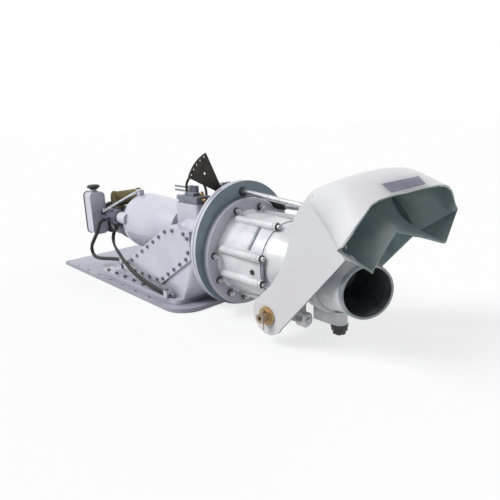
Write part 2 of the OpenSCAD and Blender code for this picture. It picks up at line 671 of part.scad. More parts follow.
// Inner edge of the hood's lower lip, from the arm to the aft corner
lip_rows = [[378, arm_y, 305], [409, 221, 306], [440, 230, 302], [472, 238, 298], [503, 247, 293]];
// Control points of the deflector inside the hood: from the roof down to its aft edge
saddle_rows = [
    [[300, 0, 561], [292, 110, 537], [272, 214, 465]],
    [[367, 0, 455], [360, 110, 427], [336, 214, 379]],
    [[407, 0, 411], [418, 116, 377], [424, 228, 329]],
    [[439, 0, 377], [470, 124, 339], [500, 244, 298]]
];
function grid_column(g, j) = [for (row = g) row[j]];
function refine_rows(g, n) = [for (row = g) smooth(row, n)];
function transpose(g) = [for (j = [0 : len(g[0]) - 1]) grid_column(g, j)];
function refine(g, n) = transpose(refine_rows(transpose(refine_rows(g, n)), n));
function mirrored(p) = [p[0], -p[1], p[2]];
function whole(half) = [for (row = half)
    concat([for (j = [len(row) - 1 : -1 : 1]) mirrored(row[j])], row)];
function grid_normal(g, i, j) =
    let (r = len(g) - 1, c = len(g[0]) - 1,
        along = g[min(i + 1, r)][j] - g[max(i - 1, 0)][j],
        across = g[i][min(j + 1, c)] - g[i][max(j - 1, 0)])
    unit_of(cross(along, across));
// Closed sheet of even thickness on one side of a grid of points
module sheet(g, t) {
    rows = len(g);
    cols = len(g[0]);
    points = concat([for (row = g) each row],
        [for (i = [0 : rows - 1], j = [0 : cols - 1]) g[i][j] + t * grid_normal(g, i, j)]);
    back = rows * cols;
    function at(i, j) = i * cols + j;
    face_pairs = [for (i = [0 : rows - 2], j = [0 : cols - 2]) each [
        [at(i, j), at(i, j + 1), at(i + 1, j)], [at(i, j + 1), at(i + 1, j + 1), at(i + 1, j)],
        [back + at(i, j), back + at(i + 1, j), back + at(i, j + 1)],
        [back + at(i, j + 1), back + at(i + 1, j), back + at(i + 1, j + 1)]]];
    row_ends = [for (j = [0 : cols - 2]) each [
        [at(0, j), back + at(0, j), at(0, j + 1)], [at(0, j + 1), back + at(0, j), back + at(0, j + 1)],
        [at(rows - 1, j), at(rows - 1, j + 1), back + at(rows - 1, j)],
        [at(rows - 1, j + 1), back + at(rows - 1, j + 1), back + at(rows - 1, j)]]];
    column_ends = [for (i = [0 : rows - 2]) each [
        [at(i, 0), at(i + 1, 0), back + at(i, 0)], [at(i + 1, 0), back + at(i + 1, 0), back + at(i, 0)],
        [at(i, cols - 1), back + at(i, cols - 1), at(i + 1, cols - 1)],
        [at(i + 1, cols - 1), back + at(i, cols - 1), back + at(i + 1, cols - 1)]]];
    polyhedron(points, concat(face_pairs, row_ends, column_ends));
}
hood_skin = refine(hood_rows, 3);
hood_lip = smooth(lip_rows, 3);
hood_grid = [for (i = [0 : len(hood_skin) - 1]) concat(hood_skin[i], [hood_lip[i]])];
// Outline of an arm in X and Z, from the hood down to its round lower end
arm_outline = [[216, 507], [177, 465], [147, 415], [127, 337], [100, 260], [72, 201], [22, 135], [-38, 77],
    [-60, 55], [57, -63], [72, -43], [215, 119], [380, 307], [397, 325], [354, 397], [294, 465], [236, 517]];
lug_half = 9;
link_gap = 3;
link_t = 10;
crank_run = 232;
crank_rise = 515;
crank_x = swing_x + crank_run;
crank_z = crank_rise - duct_pivot_drop;
module reverse_duct() color(cast_white) unit() translate([swing_x, 0, -duct_pivot_drop]) difference() {
    union() {
        sheet(whole(hood_grid), -hood_t);
        sheet(whole(refine(saddle_rows, 4)), -hood_t);
        for (m = [0, 1]) mirror([0, m, 0]) {
            side_plate(arm_y, arm_y + arm_t) polygon(arm_outline);
            y_cyl(arm_end_r, arm_y, arm_y + arm_t);
        }
        translate([0, ram_y, 0]) side_plate(-lug_half, lug_half)
            polygon([[206, 517], [218, 487], [242, 467], [272, 471], [286, 501], [322, 537], [322, 577],
                [272, 561], [232, 541]]);
    }
    y_cyl(bush_r + seat_gap, -300, 300);
    translate([crank_run, ram_y, crank_rise]) rotate([0, 45, 0]) {
        y_cyl(slot_half, -lug_half - 1, lug_half + 1);
        translate([slot_len, 0, 0]) y_cyl(slot_half, -lug_half - 1, lug_half + 1);
        translate([0, -lug_half - 1, -slot_half]) cube([slot_len, 2 * lug_half + 2, 2 * slot_half]);
    }
}
bush_end_y = arm_y + arm_t + 15;
module pivot_bushes() color(brass) unit() translate([swing_x, 0, -duct_pivot_drop])
    for (m = [0, 1]) mirror([0, m, 0]) rotate([-90, 0, 0]) rotate_extrude() polygon([
        [duct_pin_r + run_gap, arm_y], [bush_r, arm_y], [bush_r, arm_out], [40, arm_out], [40, arm_out + 8],
        [bush_r + 3, arm_out + 8], [bush_r + 3, bush_end_y], [duct_pin_r + run_gap, bush_end_y]]);

// Push rod and its cylinder
module on_rod() translate([0, ram_y, rod_h]) rotate([0, rod_slope, 0]) children();
barrel_front = 152;
barrel_r = 20;
gland_len = 46;
rod_inner = 330;
rod_end = 421;
eye_r = 20;
link_pin_r = 9;
// The pin rides down this slot and back as the duct swings
slot_half = link_pin_r + 4;
slot_len = 26;
rod_end_x = rod_end * cos(rod_slope);
rod_end_z = rod_h - rod_end * sin(rod_slope);
module ram_barrel() color(dark_steel) unit() on_rod() difference() {
    union() {
        sphere(ram_ball_r, $fn = 64);
        x_cyl(ram_ball_r - 4, -gland_len, 0);
        x_cyl(barrel_r, -barrel_front, -gland_len);
        x_cyl(barrel_r + 5, -gland_len - 14, -gland_len);
    }
    x_cyl(rod_r + run_gap, -barrel_front - 1, ram_ball_r + 1);
}
bracket_x = -150;
bracket_len = 36;
bracket_half_w = 28;
bracket_top = 36;
module ram_bracket() color(paint) unit() difference() {
    translate([bracket_x, ram_y - bracket_half_w, bracket_foot_z])
        cube([bracket_len, 2 * bracket_half_w, rod_h - bracket_foot_z + bracket_top]);
    on_rod() x_cyl(barrel_r + seat_gap, -600, 0);
    collar_form(roof_aft, seat_gap);
}
module ram_rod() color(steel) unit() on_rod() difference() {
    union() {
        x_cyl(rod_r, -rod_inner, rod_end - 34);
        translate([rod_end - 36, -lug_half, -rod_r]) cube([36, 2 * lug_half, 2 * rod_r]);
        translate([rod_end, 0, 0]) y_cyl(eye_r, -lug_half, lug_half);
    }
    translate([rod_end, 0, 0]) y_cyl(link_pin_r + run_gap, -20, 20);
}
link_angle = atan2(crank_z - rod_end_z, crank_x - rod_end_x);
link_len = norm([crank_x - rod_end_x, crank_z - rod_end_z]);
module on_link() translate([rod_end_x, ram_y, rod_end_z]) rotate([0, -link_angle, 0]) children();
module duct_link() color(cast_white) unit() on_link() for (m = [0, 1]) mirror([0, m, 0]) difference() {
    union() {
        translate([0, lug_half + link_gap, -15]) cube([link_len, link_t, 30]);
        for (x = [0, link_len]) translate([x, 0, 0]) y_cyl(22, lug_half + link_gap, lug_half + link_gap + link_t);
    }
    for (x = [0, link_len]) translate([x, 0, 0]) y_cyl(link_pin_r + run_gap, 0, 60);
}
pin_head_y = lug_half + link_gap + link_t;
module link_pins() color(steel) unit() on_link() for (x = [0, link_len]) translate([x, 0, 0]) {
    y_cyl(link_pin_r, -pin_head_y, pin_head_y);
    for (y = [-pin_head_y - 8, pin_head_y]) y_cyl(14, y, y + 8);
}

// Oil equipment

tank_x = -1165;
tank_y = -225;
tank_z = -60;
tank_corner = 28;
module tank_face(grow = 0) round_rect([tank_y - grow, tank_z - grow],
    [tank_y + tank_w + grow, tank_z + tank_h + grow], tank_corner + grow);
// A flat outline in Y and Z, given depth from x0 to x1
module cross_plate(x0, x1) translate([x0, 0, 0]) rotate([90, 0, 90]) linear_extrude(x1 - x0) children();
gasket_d = 7;
lid_d = 5;
module reservoir() color(paint) unit() difference() {
    cross_plate(tank_x - tank_d, tank_x) tank_face();
    cross_plate(tank_x - tank_d - 1, tank_x - 8) tank_face(-8);
    translate([neck_x, neck_y, 0]) z_cyl(neck_r + seat_gap, tank_z + tank_h - 20, tank_z + tank_h + 5);
}
module reservoir_gasket() color(rubber_black) unit() cross_plate(tank_x - tank_d - gasket_d, tank_x - tank_d)
    difference() {
        tank_face(3);
        tank_face(-10);
    }
module reservoir_cover() color(paint) unit()
    cross_plate(tank_x - tank_d - gasket_d - lid_d, tank_x - tank_d - gasket_d) tank_face(2);
neck_r = 17;
neck_x = tank_x - tank_d / 2;
neck_y = tank_y + tank_w / 2;
neck_h = 16;
cap_gap = 0.4;
module filler_neck() color(paint) unit() translate([neck_x, neck_y, tank_z + tank_h]) {
    z_cyl(neck_r, -12, neck_h);
    z_cyl(neck_r + 8, 0, 5);
}
module filler_cap() color(rubber_black) unit() translate([neck_x, neck_y, tank_z + tank_h + neck_h]) difference() {
    rotate_extrude() polygon([[0, cap_gap], [neck_r + 10, cap_gap], [neck_r + 10, 6], [cap_r, 9], [cap_r, 17],
        [cap_r - 7, 25], [0, 27]]);
    for (a = spread(12)) rotate([0, 0, a]) translate([cap_r + 2, 0, 0]) z_cyl(5, -1, 30, $fn = 24);
}
// Round strut from the tank to the lug on the bell
strut_from = [tank_x, tank_y + tank_w - 24, 82];
module strut(a, b, r) {
    run = b - a;
    translate(a) rotate([0, acos(run[2] / norm(run)), atan2(run[1], run[0])]) cylinder(r = r, h = norm(run));
}
module reservoir_bracket() color(steel) unit() {
    strut(strut_from + [9, 0, 0], strut_to - [9, 0, 0], 10);
    translate(strut_from) x_cyl(20, 0, 14);
    translate(strut_to) x_cyl(lug_w / 2, -14, 0);
}
cooler_x = -1140;
cooler_z = bearing_body_r + 8 + cooler_r;
module oil_cooler() color(bronze) unit() difference() {
    union() {
        translate([cooler_x, 0, cooler_z]) {
            y_cyl(cooler_r, -66, 96);
            for (y = [-76, 96]) y_cyl(cooler_r + 5, y, y + 10);
            for (y = [-84, 106]) y_cyl(cooler_r - 10, y, y + 8);
        }
        for (y = [-40, 40]) translate([cooler_x - 26, y - 12, bearing_body_r - 30]) cube([52, 24, cooler_r]);
    }
    x_cyl(bearing_body_r + seat_gap, -bearing_front - 40, -bearing_front + 200);
}
pump_x = -bell_front - bearing_flange_t;
pump_port_x = pump_x - 74;
module hydraulic_pump() color(rubber_black) unit() translate([0, pump_y, pump_z]) {
    x_cyl(pump_r, pump_x - 44, -bell_front);
    x_cyl(36, pump_x - 104, pump_x - 40);
    translate([pump_x - 98, -26, -30]) cube([44, 52, 72]);
    for (x = [pump_port_x, pump_port_x + 30]) translate([x, 0, 0]) z_cyl(11, -54, 0);
    translate([pump_port_x, 0, -14]) y_cyl(13, -66, 0);
}
block_x = valve_pad[0][0] + 15;
block_y = valve_pad[0][1] + 12;
block_z = valve_pad_z;
block_h = 34;
module valve_block() color(ring_grey) unit() {
    translate([block_x, block_y, block_z]) {
        cube([150, 84, block_h]);
        translate([35, 14, block_h - 1]) cube([70, 42, 15]);
        translate([0, 62, block_h - 1]) cube([60, 22, 42]);
        translate([0, 28, block_h / 2]) x_cyl(13, -42, 1);
        for (z = [9, 29]) translate([0, 73, block_h + z]) {
            x_cyl(5, -130, 1);
            x_cyl(8, -18, 1);
        }
    }
}
module valve_fittings() color(bronze) unit() {
    translate([-215, -80, block_z + 34]) {
        z_cyl(11, 0, 8, $fn = 6);
        z_cyl(8, 8, 20);
    }
    translate([loop_start[0], loop_start[1], block_z + 34]) {
        z_cyl(11, 0, 8, $fn = 6);
        z_cyl(9, 8, loop_start[2] - block_z - 36);
    }
    translate([-185, -100, block_z + 17]) {
        x_hex(11, 0, 9);
        x_cyl(8, 9, 24);
    }
}
lever_x = -112;
lever_y = -62;
lever_z = 296;
lever_pin_r = 9;
lever_t = 8;
module lever_bracket() color(dark_steel) unit() difference() {
    union() {
        translate([lever_x + lever_t + 1, lever_y - 16, bracket_foot_z]) cube([12, 32, lever_z - bracket_foot_z]);
        translate([0, lever_y, lever_z]) x_cyl(16, lever_x + lever_t + 1, lever_x + lever_t + 13);
        translate([0, lever_y, lever_z]) x_cyl(lever_pin_r, lever_x - 4, lever_x + lever_t + 2);
        translate([0, lever_y, lever_z]) x_cyl(14, lever_x - 8, lever_x - 1);
    }
    collar_form(roof_aft, seat_gap);
}
// Holed quadrant that takes the control cable
quadrant_r = 185;
quadrant_mid = 44;
quadrant_half = 22;
hole_circle_r = 173;
quadrant_hole_r = 5;
module control_lever() color([0.16, 0.13, 0.11]) unit() translate([lever_x, lever_y, lever_z])
    rotate([quadrant_mid, 0, 0]) difference() {
        union() {
            cross_plate(0, lever_t) {
                intersection() {
                    circle(quadrant_r);
                    polygon([[-20, 12], [20, 12], [260 * sin(quadrant_half), 260 * cos(quadrant_half)],
                        [-260 * sin(quadrant_half), 260 * cos(quadrant_half)]]);
                }
                circle(22);
            }
        }
        x_cyl(lever_pin_r + run_gap, -20, 30);
        for (a = [-18 : 9 : 18]) rotate([a, 0, 0]) translate([0, 0, hole_circle_r])
            x_cyl(quadrant_hole_r, -1, lever_t + 1);
        translate([0, 0, 112]) x_cyl(7, -1, lever_t + 1);
    }

// Hose routes, points chosen by hand
suction_route = [[-1037, -211, 52], [-1037, -226, 51], [-1060, -232, 28], [-1134, -219, -40],
    [-1236, -216, -134],
    [-1250, -214, -182], [-1216, -213, -212], [-1130, -211, -208], [-1010, -204, -190], [-950, -193, -184],
    [-922.5, -190, -184]];
pressure_route = [[-1037, -142, 10.5], [-1037, -142.5, -12], [-1020, -168, -56], [-950, -206, -94],
    [-850, -228, -132],
    [-720, -244, -186], [-600, -250, -218], [-470, -252, -240], [-390, -252, -247], [-346, -252, -248]];
return_route = concat([[-1007, -142, 10.5], [-1007, -142.5, -8]], [for (i = [2 : len(pressure_route) - 1])
    pressure_route[i] + [0, -4, 17]]);
loop_start = [-318, -96, 268];
loop_route = [loop_start, [-322, -96, 296], [-300, -98, 330], [-262, -100, 348], [-218, -98, 344],
    [-186, -92, 320], [-176, -86, 290], [-176, -84, 262]];
module suction_hose() color(rubber_black) unit() hose(smooth(suction_route, 2), suction_hose_d);
module pressure_hose() color(rubber_black) unit() hose(smooth(pressure_route, 2), pressure_hose_d);
module return_hose() color(rubber_black) unit() hose(smooth(return_route, 2), pressure_hose_d);
module loop_hose() color(rubber_black) unit() hose(smooth(loop_route, 2), 13);
// Nipple on the casting's boss, and the block that the thin hoses run into
module hose_fittings() color(steel) unit() {
    translate([tap_x, tap_y, tap_z]) z_cyl(tap_r, 0, 30);
    translate([-345, -268, plate_top + foot_h]) cube([27, 30, 40]);
}

base_plate();
intake_casting();
intake_grille();
port_cover();
starboard_cover();
cover_bolts();
intake_bolts();
bearing_housing();
bearing_cap();
thrust_bearing();
shaft_seal();
wear_ring();
oil_cooler();
hydraulic_pump();
reservoir();
reservoir_gasket();
reservoir_cover();
filler_neck();
filler_cap();
reservoir_bracket();
valve_block();
valve_fittings();
lever_bracket();
control_lever();
suction_hose();
pressure_hose();
return_hose();
loop_hose();
hose_fittings();
clamp_ring();
transom_gasket();
transom_flange();
tailpipe();
tailpipe_nuts();
aft_bearing();
nozzle_housing();
housing_bolts();
duct_pivot_pins();
split_pins();
anode();
anode_bolt();
mainshaft();
coupling_flange();
coupling_nut();
impeller();
steering_nozzle();
upper_pivot();
lower_pivot();
castle_nut();
steering_rod();
reverse_duct();
pivot_bushes();
ram_barrel();
ram_bracket();
ram_rod();
duct_link();
link_pins();
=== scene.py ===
import math

import bmesh
import bpy
from mathutils import Matrix, Vector
from mathutils.bvhtree import BVHTree


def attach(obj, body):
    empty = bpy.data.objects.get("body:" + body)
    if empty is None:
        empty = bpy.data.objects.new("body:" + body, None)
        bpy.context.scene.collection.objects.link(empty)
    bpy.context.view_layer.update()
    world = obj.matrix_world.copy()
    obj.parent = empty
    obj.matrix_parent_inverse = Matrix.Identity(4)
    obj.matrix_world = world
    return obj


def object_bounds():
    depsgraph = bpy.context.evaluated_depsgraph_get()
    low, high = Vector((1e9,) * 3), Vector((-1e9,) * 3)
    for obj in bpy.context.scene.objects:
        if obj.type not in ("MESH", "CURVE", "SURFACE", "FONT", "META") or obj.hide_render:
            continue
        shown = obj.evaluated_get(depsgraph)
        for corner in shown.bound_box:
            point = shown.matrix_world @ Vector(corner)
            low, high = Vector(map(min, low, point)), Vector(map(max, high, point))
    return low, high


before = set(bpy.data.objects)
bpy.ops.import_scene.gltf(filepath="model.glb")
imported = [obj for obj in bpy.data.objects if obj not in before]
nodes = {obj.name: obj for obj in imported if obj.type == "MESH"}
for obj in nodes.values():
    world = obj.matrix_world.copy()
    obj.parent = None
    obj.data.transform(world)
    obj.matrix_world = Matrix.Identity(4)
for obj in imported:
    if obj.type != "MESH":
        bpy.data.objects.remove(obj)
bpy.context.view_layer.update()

# From the shaft line, with x = 0 on the transom flange's aft face, to the frame of the transom bolt circle

RING_STACK = 0.036
FLANGE_RISE = 0.035


def at(x, y, z):
    """A point given in millimetres from the shaft line, as a place in the row's frame."""
    return Vector((x / 1000 + RING_STACK, y / 1000, z / 1000 - FLANGE_RISE))


def station(x):
    """A distance aft along the shaft line in millimetres, as an x in the row's frame."""
    return at(x, 0, 0).x


def level_at(z):
    """A height over the shaft line in millimetres, as a z in the row's frame."""
    return at(0, 0, z).z


# Camera at the photo's angle

AZIMUTH = math.radians(47.6)
ELEVATION = math.radians(15.3)
ROLL = math.radians(-2.1)
DISTANCE = 2.3501
LENS = 35
SENSOR = 36
IMAGE = 500
target = at(15.1, 13.5, 0)
back = Vector((math.sin(AZIMUTH) * math.cos(ELEVATION), -math.cos(AZIMUTH) * math.cos(ELEVATION),
               math.sin(ELEVATION)))
level = Vector((math.cos(AZIMUTH), math.sin(AZIMUTH), 0))
upright = back.cross(level)
right = level * math.cos(ROLL) + upright * math.sin(ROLL)
up = upright * math.cos(ROLL) - level * math.sin(ROLL)
eye = target + back * DISTANCE
lens = bpy.data.cameras.new("photo angle")
lens.lens = LENS
lens.sensor_width = SENSOR
camera = bpy.data.objects.new("photo angle", lens)
bpy.context.collection.objects.link(camera)
turn = Matrix((right, up, back)).transposed().to_4x4()
camera.matrix_world = Matrix.Translation(eye) @ turn
bpy.context.scene.camera = camera


def sight(u, v):
    """Direction from the camera through a pixel of the photo's 500 by 500 frame."""
    focal = IMAGE * LENS / SENSOR
    return (right * (u - IMAGE / 2) / focal - up * (v - IMAGE / 2) / focal - back).normalized()


# Materials

COAT_ROUGH = 0.12
BLOTCH_DETAIL = 5
BLOTCH_LOW = 0.35
BLOTCH_HIGH = 0.68
GRAIN_FINER = 40
GRAIN_DEPTH = 0.002
NEAR_SAMPLES = 4


def surface(name, dark, light, rough, scale, bump, metal=0.0, coat=0.0, edge=0.0, painted_shade=0.0, reach=0.03):
    """A finish whose colour and gloss wander between two values, with a faint grain.

    edge is the radius of softened edges; the corner factor is painted shade, how strongly ambient occlusion
    darkens corners and creases, and reach how wide.
    """
    mat = bpy.data.materials.new(name)
    mat.use_nodes = True
    tree = mat.node_tree
    link = tree.links.new
    bsdf = tree.nodes["Principled BSDF"]
    bsdf.inputs["Metallic"].default_value = metal
    bsdf.inputs["Coat Weight"].default_value = coat
    bsdf.inputs["Coat Roughness"].default_value = COAT_ROUGH
    place = tree.nodes.new("ShaderNodeTexCoord")
    broad = tree.nodes.new("ShaderNodeTexNoise")
    broad.inputs["Scale"].default_value = scale
    broad.inputs["Detail"].default_value = BLOTCH_DETAIL
    ramp = tree.nodes.new("ShaderNodeValToRGB")
    ramp.color_ramp.elements[0].position = BLOTCH_LOW
    ramp.color_ramp.elements[1].position = BLOTCH_HIGH
    ramp.color_ramp.elements[0].color = (*dark, 1)
    ramp.color_ramp.elements[1].color = (*light, 1)
    gloss = tree.nodes.new("ShaderNodeMapRange")
    gloss.inputs["To Min"].default_value = rough[0]
    gloss.inputs["To Max"].default_value = rough[1]
    fine = tree.nodes.new("ShaderNodeTexNoise")
    fine.inputs["Scale"].default_value = scale * GRAIN_FINER
    grain = tree.nodes.new("ShaderNodeBump")
    grain.inputs["Strength"].default_value = bump
    grain.inputs["Distance"].default_value = GRAIN_DEPTH
    link(place.outputs["Object"], broad.inputs["Vector"])
    link(place.outputs["Object"], fine.inputs["Vector"])
    link(broad.outputs["Fac"], ramp.inputs["Fac"])
    link(broad.outputs["Fac"], gloss.inputs["Value"])
    link(gloss.outputs["Result"], bsdf.inputs["Roughness"])
    link(fine.outputs["Fac"], grain.inputs["Height"])
    link(grain.outputs["Normal"], bsdf.inputs["Normal"])
    if edge:
        soften = tree.nodes.new("ShaderNodeBevel")
        soften.samples = NEAR_SAMPLES
        soften.inputs["Radius"].default_value = edge
        link(soften.outputs["Normal"], grain.inputs["Normal"])
    # Painted shade: ambient occlusion darkens the colour in corners, creases and between parts
    if painted_shade:
        corner = tree.nodes.new("ShaderNodeAmbientOcclusion")
        corner.samples = NEAR_SAMPLES
        corner.inputs["Distance"].default_value = reach
        shade_mix = tree.nodes.new("ShaderNodeMix")
        shade_mix.data_type = "RGBA"
        shade_mix.inputs["Factor"].default_value = painted_shade
        link(ramp.outputs["Color"], corner.inputs["Color"])
        link(ramp.outputs["Color"], shade_mix.inputs["A"])
        link(corner.outputs["Color"], shade_mix.inputs["B"])
        link(shade_mix.outputs["Result"], bsdf.inputs["Base Color"])
    else:
        link(ramp.outputs["Color"], bsdf.inputs["Base Color"])
    return mat


# PAINT, PLATE, WHITE, CAST, RING, SLATE and BOLT darken in corners as painted shade, PAINT and PLATE over a
# wide reach
# Paints

PAINT = surface("pale grey paint", (0.57, 0.57, 0.68), (0.65, 0.67, 0.75), rough=(0.18, 0.28),
                scale=5, bump=0.05, coat=0.5, edge=0.003, painted_shade=0.6, reach=0.12)
PLATE = surface("lilac grey paint", (0.40, 0.40, 0.49), (0.48, 0.48, 0.57), rough=(0.32, 0.48),
                scale=5, bump=0.08, coat=0.1, edge=0.002, painted_shade=0.6, reach=0.10)
WHITE = surface("near white paint", (0.70, 0.685, 0.725), (0.73, 0.745, 0.76), rough=(0.44, 0.56),
                scale=3, bump=0.05, coat=0.05, edge=0.003, painted_shade=0.3)
CAST = surface("silver cast paint", (0.64, 0.65, 0.68), (0.76, 0.77, 0.80), rough=(0.26, 0.42),
               scale=14, bump=0.10, metal=0.1, coat=0.2, edge=0.003, painted_shade=0.25)
# Painted shade for the inside of the hood
SHADE = surface("painted shade inside hood", (0.20, 0.27, 0.28), (0.30, 0.38, 0.39), rough=(0.3, 0.46),
                scale=7, bump=0.06, coat=0.1, edge=0.002)
RING = surface("blue grey ring paint", (0.17, 0.23, 0.28), (0.25, 0.32, 0.37), rough=(0.28, 0.42),
               scale=11, bump=0.05, coat=0.1, painted_shade=0.4)
# Also painted shade on the straps between the housing bolts
SLATE = surface("slate paint and painted strap shade", (0.17, 0.19, 0.24), (0.25, 0.27, 0.32), rough=(0.3, 0.42),
                scale=14, bump=0.06, coat=0.1, edge=0.002, painted_shade=0.4)
# Painted shade: the bearing housing and pump take the dark blue they show in shade
DEEP = surface("dark blue painted shade", (0.045, 0.055, 0.09), (0.08, 0.095, 0.14), rough=(0.3, 0.45),
               scale=12, bump=0.06, coat=0.1, edge=0.002)
FIELD = surface("blank plate field", (0.085, 0.09, 0.17), (0.13, 0.135, 0.23), rough=(0.35, 0.45),
                scale=20, bump=0.02)

# Metals

STEEL = surface("bright steel", (0.50, 0.51, 0.53), (0.68, 0.69, 0.71), rough=(0.18, 0.32),
                scale=30, bump=0.03, metal=1.0)
BOLT = surface("plated bolts", (0.50, 0.50, 0.52), (0.70, 0.70, 0.72), rough=(0.22, 0.36),
               scale=60, bump=0.05, metal=1.0, edge=0.001, painted_shade=0.5)
# Also painted shade on the tailpipe washers, the hull bolt hole walls and the disc on the drum's hole
DARK = surface("dark oiled steel and painted shade", (0.035, 0.035, 0.038), (0.075, 0.072, 0.07), rough=(0.35, 0.55),
               scale=25, bump=0.08, metal=0.6)
SCREW = surface("blued screws", (0.10, 0.11, 0.14), (0.19, 0.20, 0.24), rough=(0.3, 0.45),
                scale=60, bump=0.05, metal=0.5, edge=0.001)
QUADRANT = surface("brown black steel", (0.020, 0.016, 0.014), (0.050, 0.040, 0.034), rough=(0.45, 0.6),
                   scale=30, bump=0.08, metal=0.3)
# Painted shade for the nozzle's bore
NOZZLE = surface("painted shade in nozzle bore", (0.10, 0.12, 0.13), (0.17, 0.19, 0.20), rough=(0.28, 0.45),
                 scale=18, bump=0.1, metal=0.2)
LIP = surface("worn nozzle lip and painted rib shade", (0.24, 0.28, 0.30), (0.36, 0.40, 0.42), rough=(0.28, 0.42),
              scale=24, bump=0.1, metal=0.3, edge=0.002)
BRASS = surface("dull brass", (0.40, 0.28, 0.14), (0.58, 0.44, 0.25), rough=(0.35, 0.5),
                scale=30, bump=0.05, metal=0.8)
TAN = surface("stained steel", (0.30, 0.23, 0.17), (0.48, 0.40, 0.32), rough=(0.35, 0.5),
              scale=40, bump=0.08, metal=0.7)
OLIVE = surface("worn olive bronze", (0.11, 0.09, 0.03), (0.20, 0.16, 0.07), rough=(0.4, 0.6),
                scale=22, bump=0.1, metal=0.3)
ZINC = surface("dull zinc", (0.52, 0.53, 0.54), (0.72, 0.73, 0.74), rough=(0.35, 0.5),
               scale=35, bump=0.15, metal=0.5, edge=0.002)

# Rubber and plastic

BLACK = surface("black rubber", (0.008, 0.008, 0.009), (0.022, 0.022, 0.024), rough=(0.5, 0.7),
                scale=30, bump=0.12)
PLASTIC = surface("black moulding", (0.008, 0.008, 0.010), (0.018, 0.018, 0.020), rough=(0.5, 0.65),
                  scale=40, bump=0.08)

HOSES = ["suction_hose", "pressure_hose", "return_hose", "loop_hose"]
FINISHES = [
    (PAINT, ["intake_casting", "port_cover", "starboard_cover", "reservoir", "reservoir_cover",
             "filler_neck", "ram_bracket"]),
    (PLATE, ["base_plate"]),
    (WHITE, ["reverse_duct", "duct_link"]),
    (CAST, ["tailpipe", "nozzle_housing", "steering_nozzle"]),
    (RING, ["clamp_ring", "transom_flange"]),
    (SLATE, ["valve_block", "bearing_cap"]),
    (DEEP, ["bearing_housing", "hydraulic_pump"]),
    (STEEL, ["mainshaft", "coupling_nut", "wear_ring", "thrust_bearing", "upper_pivot", "lower_pivot",
             "steering_rod", "ram_rod", "link_pins", "reservoir_bracket"]),
    (BOLT, ["tailpipe_nuts", "housing_bolts", "anode_bolt", "hose_fittings"]),
    (DARK, ["coupling_flange", "castle_nut", "intake_grille", "lever_bracket", "ram_barrel"]),
    (SCREW, ["cover_bolts", "intake_bolts"]),
    (QUADRANT, ["control_lever"]),
    (BLACK, ["reservoir_gasket", "transom_gasket", "shaft_seal", "aft_bearing"] + HOSES),
    (PLASTIC, ["filler_cap"]),
    (BRASS, ["pivot_bushes", "valve_fittings", "impeller"]),
    (TAN, ["duct_pivot_pins", "split_pins"]),
    (OLIVE, ["oil_cooler"]),
    (ZINC, ["anode"]),
]
for finish, names in FINISHES:
    for name in names:
        mesh = nodes[name].data
        mesh.materials.clear()
        mesh.materials.append(finish)

# Smooth shading of round faces, and all round the hoses

SHARP = math.radians(32)
HOSE_SHARP = math.radians(60)
SAME_PLACE_DIGITS = 5
for name, node in nodes.items():
    node.data.shade_smooth()
    node.data.set_sharp_from_angle(angle=HOSE_SHARP if name in HOSES else SHARP)


def blend_corners(mesh, limit):
    """Shade a faceted skin as a smooth one: each corner takes the mean normal of the faces that meet there.

    The faces of such a skin share no points, so those that meet are found by place.
    """
    corners = []
    meeting = {}
    for face in mesh.polygons:
        points = [mesh.vertices[index].co for index in face.vertices]
        for k, point in enumerate(points):
            before = points[k - 1] - point
            after = points[(k + 1) % len(points)] - point
            place = tuple(round(value, SAME_PLACE_DIGITS) for value in point)
            corners.append((place, face.normal))
            meeting.setdefault(place, []).append((face.normal, before.angle(after, 0.0)))
    blended = []
    for place, normal in corners:
        near = [other * share for other, share in meeting[place] if other.angle(normal, math.pi) < limit]
        blended.append(sum(near, Vector()).normalized() if near else normal)
    mesh.normals_split_custom_set(blended)


blend_corners(nodes["reverse_duct"].data, SHARP)
for name in HOSES:
    blend_corners(nodes[name].data, HOSE_SHARP)


def second_finish(name, finish, chosen):
    """Another finish on the faces of one CAD piece that a test picks by centre and normal."""
    mesh = nodes[name].data
    index = len(mesh.materials)
    mesh.materials.append(finish)
    for face in mesh.polygons:
        if chosen(face.center, face.normal):
            face.material_index = index


# Painted shade inside the hood: the arms' inner faces, faces that look down between the arms, aft rim faces
# that look down, and faces that look back to the middle of its hollow are coloured dark

ARM_INNER = 0.2135
ARM_OUTER = 0.2265
HOLLOW_HALF_W = 0.20
# How far a face has to lean each way to count, by its normal
SIDEWAYS = 0.99
DOWNWARD = -0.15
AFTWARD = 0.5
INWARD = -0.002
hollow = at(775, 0, 270)
hood_front = station(590)
arm_top = level_at(100)
deflector_top = level_at(330)


def inside_hood(centre, normal):
    """Whether a face of the reverse duct takes the painted shade, by facing down or into the hollow."""
    on_arm = ARM_INNER < abs(centre.y) < ARM_OUTER and abs(normal.y) > SIDEWAYS
    if on_arm:
        return centre.y * normal.y < 0
    below = abs(centre.y) < ARM_INNER and normal.z < DOWNWARD and centre.z > arm_top
    edge = centre.z < deflector_top and normal.x > AFTWARD and normal.z < 0
    middle = Vector((hollow.x, max(-HOLLOW_HALF_W, min(HOLLOW_HALF_W, centre.y)), hollow.z))
    facing_in = centre.x > hood_front and normal.dot(centre - middle) < INWARD
    return below or edge or facing_in


second_finish("reverse_duct", SHADE, inside_hood)

# The nozzle's bore is coloured dark as painted shade, and the collar at its mouth is worn

STEER_REST = math.radians(28)
COLLAR_FROM = 0.205
# Faces that look to the axis by more than this are in the bore
BORE_SIDE = -0.2
nozzle_pivot = at(561, 0, 0)
nozzle_axis = Vector((math.cos(STEER_REST), -math.sin(STEER_REST), 0))


